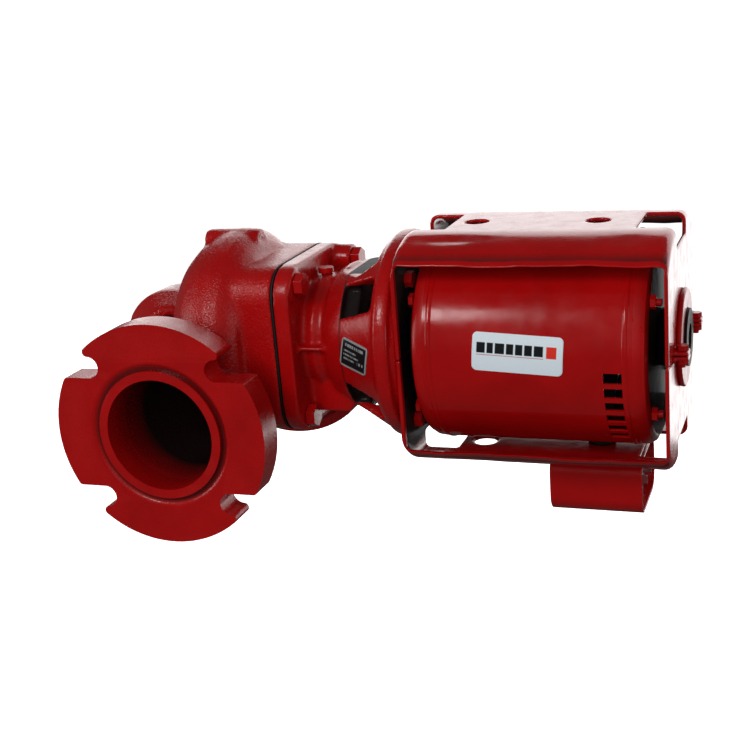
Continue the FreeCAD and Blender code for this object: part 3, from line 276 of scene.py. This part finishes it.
FINISH = {
    # The cast, flange, bracket, bell and cradle reds paint shade in near black where light doesn't reach.
    "cast_red": enamel("cast_red", pebble=0.00030, pebble_scale=900.0, gloss=0.28, shade_masks=painted_shade_in_passages),
    "flange_red": enamel("flange_red", pebble=0.00006, pebble_scale=900.0, gloss=0.26, shade_masks=painted_shade_in_passages),
    "bracket_red": enamel("bracket_red", pebble=0.00008, pebble_scale=600.0, gloss=0.24,
                          shade_masks=painted_shade_within(53.5 * MM, 113.0 * MM)),
    "shell_red": enamel("shell_red", peel=0.00003, gloss=0.16),
    "bell_red": enamel("bell_red", pebble=0.00004, gloss=0.3, shade_masks=painted_shade_within(64.0 * MM)),
    "cradle_red": enamel("cradle_red", peel=0.00006, peel_scale=160.0, gloss=0.17,
                         shade_masks=painted_shade_on_end_walls),
    "fastener_red": enamel("fastener_red", peel=0.00006, gloss=0.22),
    "rubber_red": enamel("rubber_red", pebble=0.00008, gloss=0.30),
    "gasket_black": plain("gasket_black", (0.012, 0.010, 0.010), 0.75, grain=900.0),
    "rubber_black": plain("rubber_black", (0.014, 0.014, 0.015), 0.6),
    "grommet_black": plain("grommet_black", (0.012, 0.012, 0.013), 0.5),
    "ground_steel": plain("ground_steel", (0.55, 0.55, 0.56), 0.28, 1.0, 500.0, stretch=(1, 12, 12)),
    "bronze": plain("bronze", (0.55, 0.34, 0.14), 0.32, 1.0, 400.0),
    "carbon": plain("carbon", (0.02, 0.02, 0.022), 0.35),
    "ceramic": plain("ceramic", (0.78, 0.76, 0.70), 0.25),
    "coupler_iron": plain("coupler_iron", (0.16, 0.16, 0.17), 0.42, 0.9, 350.0),
    "lamination": plain("lamination", (0.12, 0.13, 0.15), 0.45, 0.8, 900.0, 0.00006, 0.5, (40, 0.2, 0.2)),
    "copper_winding": plain("copper_winding", (0.42, 0.13, 0.05), 0.4, 0.5, 700.0, 0.0002),
    "rotor_aluminium": plain("rotor_aluminium", (0.5, 0.5, 0.52), 0.35, 0.9, 600.0),
    "fan_black": plain("fan_black", (0.02, 0.02, 0.02), 0.45),
    "capacitor_can": plain("capacitor_can", (0.55, 0.56, 0.57), 0.3, 1.0, 250.0),
    "label_white": plain("label_white", (0.72, 0.78, 0.83), 0.3, contrast=0.05),
    "plate_black": plain("plate_black", (0.02, 0.02, 0.022), 0.35),
}
SLOT_OF = {s["node"]: s["material_slot"] for s in frame["record"]["subparts"]}
for node, item in frame["nodes"].items():
    for spot in item.material_slots:
        spot.material = FINISH[SLOT_OF[node]]


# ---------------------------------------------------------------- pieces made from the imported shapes
def welded(node):
    """A CAD node's mesh as a closed bmesh, its doubled corners merged."""
    shape = bmesh.new()
    shape.from_mesh(frame["nodes"][node].data)
    bmesh.ops.remove_doubles(shape, verts=shape.verts, dist=2e-6)
    return shape


def worked(item):
    """The mesh that an object's modifiers give, as new mesh data."""
    bpy.context.view_layer.update()
    return bpy.data.meshes.new_from_object(item.evaluated_get(bpy.context.evaluated_depsgraph_get()))


def between(node, low, high):
    """The slice of a CAD node that lies between two stations along the pipe, closed at both cuts."""
    whole = bpy.data.meshes.new("whole")
    shape = welded(node)
    shape.to_mesh(whole)
    shape.free()
    slab = bpy.data.meshes.new("slab")
    shape = bmesh.new()
    bmesh.ops.create_cube(shape, size=1, matrix=Matrix.LocRotScale(Vector((0, (low + high) / 2, 0)), None,
                                                                   Vector((1, high - low, 1))))
    shape.to_mesh(slab)
    shape.free()
    items = [bpy.data.objects.new(mesh.name, mesh) for mesh in (whole, slab)]
    for item in items:
        bpy.context.collection.objects.link(item)
    keep = items[0].modifiers.new("keep", "BOOLEAN")
    keep.operation, keep.object, keep.solver = "INTERSECT", items[1], "EXACT"
    shape = bmesh.new()
    shape.from_mesh(worked(items[0]))
    for item in items:
        bpy.data.objects.remove(item)
    bmesh.ops.remove_doubles(shape, verts=shape.verts, dist=2e-6)
    return shape


def shown(name, mesh, node, finish=None, replace=True):
    """Puts a mesh in the scene as a piece that rides with a CAD node, and replaces it if asked."""
    item = bpy.data.objects.new(name, mesh)
    bpy.context.collection.objects.link(item)
    item.data.materials.clear()
    item.data.materials.append(finish or FINISH[SLOT_OF[node]])
    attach(item, body_of(frame["nodes"][node])[0])
    if replace:
        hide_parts(node)
    return item


def smooth_faces(mesh):
    mesh.polygons.foreach_set("use_smooth", np.ones(len(mesh.polygons), dtype=bool))


def crisp(node, shape=None, name=None, width=0.5, segments=2, angle=28, finish=None):
    """A machined or pressed part: every sharp edge broken by a small rounded bevel, in mm."""
    shape = shape or welded(node)
    bmesh.ops.dissolve_limit(shape, angle_limit=math.radians(0.6), verts=shape.verts, edges=shape.edges)
    mesh = bpy.data.meshes.new((name or node) + "_finished")
    shape.to_mesh(mesh)
    shape.free()
    smooth_faces(mesh)
    item = shown(name or node + "_finished", mesh, node, finish)
    bevel = item.modifiers.new("edge", "BEVEL")
    bevel.width, bevel.segments, bevel.angle_limit = width * MM, segments, math.radians(angle)
    bevel.limit_method, bevel.use_clamp_overlap, bevel.harden_normals = "ANGLE", True, False
    bevel.miter_outer = "MITER_ARC"
    weighted = item.modifiers.new("normals", "WEIGHTED_NORMAL")
    weighted.keep_sharp, weighted.weight = True, 80
    return item


def cast(node, shape=None, name=None, voxel=1.6, rounds=6):
    """A sand-cast part: the shape rebuilt on a fine grid of voxels in mm and relaxed for a number of
    rounds, so every inside corner gets the fillet a pattern maker would give it."""
    shape = shape or welded(node)
    mesh = bpy.data.meshes.new("rough")
    shape.to_mesh(mesh)
    shape.free()
    rough = bpy.data.objects.new("rough", mesh)
    bpy.context.collection.objects.link(rough)
    remesh = rough.modifiers.new("grid", "REMESH")
    remesh.mode, remesh.voxel_size, remesh.adaptivity = "VOXEL", voxel * MM, 0.0
    relax = rough.modifiers.new("relax", "SMOOTH")
    relax.factor, relax.iterations = 0.5, rounds
    final = worked(rough)
    bpy.data.objects.remove(rough)
    final.name = (name or node) + "_cast"
    smooth_faces(final)
    return shown(name or node + "_cast", final, node)


def surface(name, points, node, finish=None, wrap=False, replace=False):
    """A sheet of quads through a grid of points, in metres; wrap joins the last column to the first.
    Its UV map runs 0 to 1 along the columns and along the rows."""
    rows, columns = points.shape[:2]
    across = columns if wrap else columns - 1
    i, j = np.meshgrid(np.arange(rows - 1), np.arange(across), indexing="ij")
    k = (j + 1) % columns
    quads = np.stack([i * columns + j, i * columns + k, (i + 1) * columns + k, (i + 1) * columns + j], -1)
    mesh = bpy.data.meshes.new(name)
    mesh.from_pydata(points.reshape(-1, 3).tolist(), [], quads.reshape(-1, 4).tolist())
    layer = mesh.uv_layers.new(name="uv")
    u = np.stack([j, j + 1, j + 1, j], -1) / across
    v = np.stack([i, i, i + 1, i + 1], -1) / (rows - 1)
    layer.data.foreach_set("uv", np.stack([u, v], -1).reshape(-1))
    smooth_faces(mesh)
    mesh.update()
    return shown(name, mesh, node, finish, replace)


def about_shaft(station, radius, angle):
    """Points at a station along the shaft, a distance from it, and an angle from up towards the viewer."""
    return np.stack([station + 0 * radius * angle, SHAFT_Y - radius * np.sin(angle) + 0 * station,
                     SHAFT_Z + radius * np.cos(angle) + 0 * station], -1)


def hoop(name, profile, node):
    """A ring: a profile of (station, radius) in mm, carried round the shaft."""
    profile = np.array(profile) * MM
    turn = np.linspace(0, 2 * np.pi, 160, endpoint=False)
    return surface(name, about_shaft(profile[:, :1], profile[:, 1:], turn[None, :]), node, wrap=True)


# The casing: cast body between two flanges that are faced and drilled.
trunk = between("volute_casing", pipe_low + FLANGE - 3 * MM, pipe_high - FLANGE + 3 * MM)
cast("volute_casing", trunk, "casing_trunk", 1.9, 7)
for side, low, high in (("outlet", pipe_low - FLANGE, pipe_low + FLANGE),
                        ("inlet", pipe_high - FLANGE, pipe_high + FLANGE)):
    crisp("volute_casing", between("volute_casing", low, high), side + "_flange", 0.8, 2, 34,
          FINISH["flange_red"])
cast("bearing_bracket", voxel=1.5, rounds=5)
for node, width in (("casing_cap_screws", 0.7), ("ring_cap_screws", 0.6), ("oil_cap", 0.6),
                    ("gauge_plugs", 0.5), ("cradle_clamp_bolts", 0.5), ("cradle_clamp_nuts", 0.5),
                    ("capacitor_sleeve", 0.6),
                    ("motor_shell", 0.5), ("front_end_bell", 1.2), ("rear_end_bell", 1.2),
                    ("front_resilient_ring", 1.0), ("rear_resilient_ring", 1.0), ("lead_grommet", 0.8)):
    crisp(node, width=width)


def plate_on(name, node, middle, size, lean, corner, radius_at, finish):
    """A thin plate wrapped round the shaft's axis. u and v run from -1 to 1: the plate is v * height / 2
    tall, and its half length shrinks near the top and bottom by the corner's quarter circle, so
    length(v) = half - c + sqrt(c^2 - max(0, |v| h - (h - c))^2). The flat outline is turned by lean
    and then rolled on, an arc length of w becoming an angle of w / radius."""
    half, tall = np.array(size) * MM / 2
    corner = corner * MM
    v = np.sin(np.linspace(-1, 1, 33)[:, None] * np.pi / 2)
    u = np.linspace(-1, 1, 65)[None, :]
    past = np.maximum(0, np.abs(v) * tall - (tall - corner))
    along = u * (half - corner + np.sqrt(np.maximum(0, corner ** 2 - past ** 2)))
    up = v * tall + 0 * u
    turn = math.radians(lean)
    station = middle[0] * MM + along * math.cos(turn) + up * math.sin(turn)
    rise = up * math.cos(turn) - along * math.sin(turn)
    radius = radius_at(station)
    points = about_shaft(station, radius, math.radians(middle[1]) - rise / radius)
    plate = surface(name, points, node, finish, replace=True)
    thick = plate.modifiers.new("sheet", "SOLIDIFY")
    thick.thickness, thick.offset = 0.5 * MM, -1.0
    layer = plate.data.uv_layers["uv"].data
    flat = np.stack([along / (2 * half) + 0.5, up / (2 * tall) + 0.5], -1).reshape(-1, 2)
    corners = np.zeros(len(plate.data.loops), dtype=np.int32)
    plate.data.loops.foreach_get("vertex_index", corners)
    layer.foreach_set("uv", flat[corners].reshape(-1))
    return plate


def printed(name, ground, marks):
    """Flat ink on a plate: each mark is (left, low, right, high, colour, strokes) in the plate's own
    0 to 1 sides; strokes above 0 breaks the mark into that many upright strokes of uneven width."""
    s = Shader(name, ground, 0.28, coat=0.1)
    spot = s.add("ShaderNodeSeparateXYZ", {"Vector": s.add("ShaderNodeUVMap", uv_map="uv").outputs[0]})
    u, v = spot.outputs["X"], spot.outputs["Y"]
    grit = s.noise(700.0, 3.0)
    tone = s.mix(grit, tuple(c * 0.93 for c in ground), ground)
    for left, low, right, high, ink, strokes in marks:
        inside = s.times(s.band(u, left, right, 0.003), s.band(v, low, high, 0.006))
        if strokes:
            uneven = s.add("ShaderNodeTexNoise", {"W": s.times(u, strokes), "Scale": 1.0,
                                                   "Detail": 0.0}, noise_dimensions="1D").outputs["Fac"]
            inside = s.times(inside, s.ramp(uneven, 0.42, 0.46))
        tone = s.mix(inside, tone, ink)
    s.set(s.surface, {"Base Color": tone})
    s.bump(s.times(grit, 0.00001), 1.0)
    return s.material


INK, GREY, SIGNAL = (0.008, 0.009, 0.010), (0.30, 0.31, 0.32), (0.75, 0.035, 0.02)
LABEL_BLOCKS = ((0.05, 0.145), (0.165, 0.235), (0.255, 0.36), (0.38, 0.46), (0.48, 0.56), (0.58, 0.665),
                (0.685, 0.785))
label_marks = [(left, 0.47, right, 0.74, INK, 0) for left, right in LABEL_BLOCKS]
label_marks += [(0.05, 0.415, 0.79, 0.432, (0.55, 0.10, 0.14), 0), (0.82, 0.44, 0.93, 0.74, SIGNAL, 0)]
rating_marks = [(-0.1, 0.93, 1.1, 1.1, GREY, 0), (-0.1, -0.1, 1.1, 0.07, GREY, 0),
                (-0.1, -0.1, 0.05, 1.1, GREY, 0), (0.95, -0.1, 1.1, 1.1, GREY, 0),
                (0.12, 0.74, 0.88, 0.84, GREY, 26), (0.12, 0.56, 0.6, 0.62, GREY, 40),
                (0.12, 0.42, 0.7, 0.48, GREY, 34), (0.12, 0.28, 0.55, 0.34, GREY, 44),
                (0.66, 0.26, 0.88, 0.36, GREY, 18)]


def on_shell(station):
    return (SHELL_RADIUS + 0.5) * MM + 0 * station


def on_cone(station):
    """The bracket's cone widens by 0.554 for each unit along the shaft from its front at 99 mm."""
    return 46.2 * MM + 0.554 * (station - 99.0 * MM)


plate_on("maker_label_plate", "maker_label", (240.3, 84.0), (58.5, 25.0), 3.2, 3.2, on_shell,
         printed("label_print", (0.78, 0.88, 0.94), label_marks))
plate_on("rating_plate_foil", "rating_plate", (126.2, 90.0), (22.5, 20.5), 12.5, 2.2, on_cone,
         printed("rating_print", INK, rating_marks))


# ---------------------------------------------------------------- the cradle and the shell's beads
# place along and across the cradle, length and width, in m, then depth in mm
DENTS = ((0.034, -0.046, 0.026, 0.006, 1.3), (0.150, -0.050, 0.012, 0.010, 0.9))


def pressed(node, side):
    """A cradle half in pressed sheet. Its skirts wave a little where the die let go: past the bend the
    sheet moves out by a * sin(k x) * w, where w grows from 0 at the bend to 1 at the skirt's edge, and
    two shallow dents sink by d * exp(-r^2)."""
    item = cast(node, voxel=1.15, rounds=2)
    count = len(item.data.vertices)
    points = np.zeros(count * 3)
    item.data.vertices.foreach_get("co", points)
    points = points.reshape(-1, 3)
    x, y, z = points[:, 0] - cradle_low[0], points[:, 1] - SHAFT_Y, (points[:, 2] - SHAFT_Z) * side
    edge = np.clip((np.abs(y) - 0.040) / 0.028, 0, 1) ** 2 * np.clip((z - 0.056) / 0.006, 0, 1)
    wave = 0.55 * np.sin(x * 61 + 0.6) + 0.30 * np.sin(x * 143 + 2.0 * side) + 0.15 * np.sin(x * 310)
    points[:, 2] += side * edge * wave * 0.8 * MM
    for at_x, at_y, long, wide, deep in DENTS:
        sink = np.exp(-((x - at_x) / long) ** 2 - ((y - at_y) / wide) ** 2) * (z > 0.05)
        points[:, 2] -= side * sink * deep * MM
    item.data.vertices.foreach_set("co", points.reshape(-1))
    item.data.update()


pressed("cradle_upper", 1)
pressed("cradle_lower", -1)

# Rolled beads where the shell meets its end bells.
shell_low, shell_high = (c[0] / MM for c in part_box("motor_shell"))
BEAD = ((0, -0.1), (0.5, 0.35), (1.3, 0.6), (2.6, 0.6), (3.4, 0.35), (3.9, -0.1))
for side, station in (("front", shell_low + 2.2), ("rear", shell_high - 6.5)):
    hoop("shell_bead_" + side, [(station + along, SHELL_RADIUS + out) for along, out in BEAD], "motor_shell")


# ---------------------------------------------------------------- stage, light and camera
def light_box(name, place, aim, size, power):
    lamp = bpy.data.lights.new(name, "AREA")
    lamp.shape, lamp.size, lamp.size_y, lamp.energy = "RECTANGLE", size[0], size[1], power
    item = bpy.data.objects.new(name, lamp)
    bpy.context.collection.objects.link(item)
    item.location = place
    item.rotation_euler = (Vector(aim) - Vector(place)).to_track_quat("-Z", "Y").to_euler()
    return item


def from_centre(distance, azimuth, elevation):
    """A point at a distance from the object's middle; azimuth 0 is in front, positive to the right."""
    middle = (Vector(cad_box[0]) + Vector(cad_box[1])) / 2
    a, e = math.radians(azimuth), math.radians(elevation)
    return middle + distance * Vector((math.sin(a) * math.cos(e), -math.cos(a) * math.cos(e), math.sin(e)))


def build_stage():
    middle = (Vector(cad_box[0]) + Vector(cad_box[1])) / 2
    bpy.ops.mesh.primitive_plane_add(size=14, location=(0, 0, cad_box[0][2] - 0.42))
    floor = bpy.context.object
    floor.name = "pale_floor"
    s = Shader("pale_floor", (0.93, 0.93, 0.93), 0.9)
    s.set(s.surface, {"Emission Color": (1, 1, 1, 1), "Emission Strength": 1.0})
    floor.data.materials.append(s.material)
    floor.visible_diffuse = floor.visible_glossy = floor.visible_shadow = False
    light_box("backdrop_box", from_centre(1.6, 172, 10), middle, (3.4, 2.0), 44)
    light_box("front_left_box", from_centre(1.5, -22, 34), middle, (0.34, 0.28), 4)
    wide = light_box("front_wide_box", from_centre(2.0, 8, 22), middle, (1.8, 1.4), 20)
    wide.visible_glossy = False
    light_box("right_fill", from_centre(1.7, 78, 12), middle, (0.6, 1.0), 3)
    light_box("left_fill", from_centre(1.7, -70, 10), middle, (0.5, 0.8), 5)
    world = bpy.data.worlds.new("studio")
    world.use_nodes = True
    tree = world.node_tree
    back = tree.nodes["Background"]
    back.inputs["Color"].default_value = (1, 1, 1, 1)
    path = tree.nodes.new("ShaderNodeLightPath")
    level = tree.nodes.new("ShaderNodeMapRange")
    level.inputs["To Min"].default_value = 0.07
    level.inputs["To Max"].default_value = 1.05
    tree.links.new(path.outputs["Is Camera Ray"], level.inputs["Value"])
    tree.links.new(level.outputs[0], back.inputs["Strength"])
    bpy.context.scene.world = world
    bpy.context.scene.view_settings.view_transform = "Standard"


def build_camera():
    """In front of the outlet flange and to its right, a little above, and rolled slightly."""
    az, el, roll = math.radians(20.67), math.radians(17.26), math.radians(-4.69)
    back = Vector((math.sin(az) * math.cos(el), -math.cos(az) * math.cos(el), math.sin(el)))
    right = Vector((math.cos(az), math.sin(az), 0))
    up = back.cross(right)
    side = right * math.cos(roll) + up * math.sin(roll)
    top = up * math.cos(roll) - right * math.sin(roll)
    place = Vector((0.11757, 0.110, SHAFT_Z - 0.03265)) + back * 0.93331
    camera = bpy.data.objects.new("camera", bpy.data.cameras.new("camera"))
    camera.data.lens = 62.4
    camera.data.sensor_width = 36
    camera.data.clip_start = 0.01
    bpy.context.collection.objects.link(camera)
    camera.matrix_world = Matrix((
        (side.x, top.x, back.x, place.x), (side.y, top.y, back.y, place.y),
        (side.z, top.z, back.z, place.z), (0, 0, 0, 1)))
    bpy.context.scene.camera = camera


build_stage()
build_camera()

bpy.context.view_layer.update()
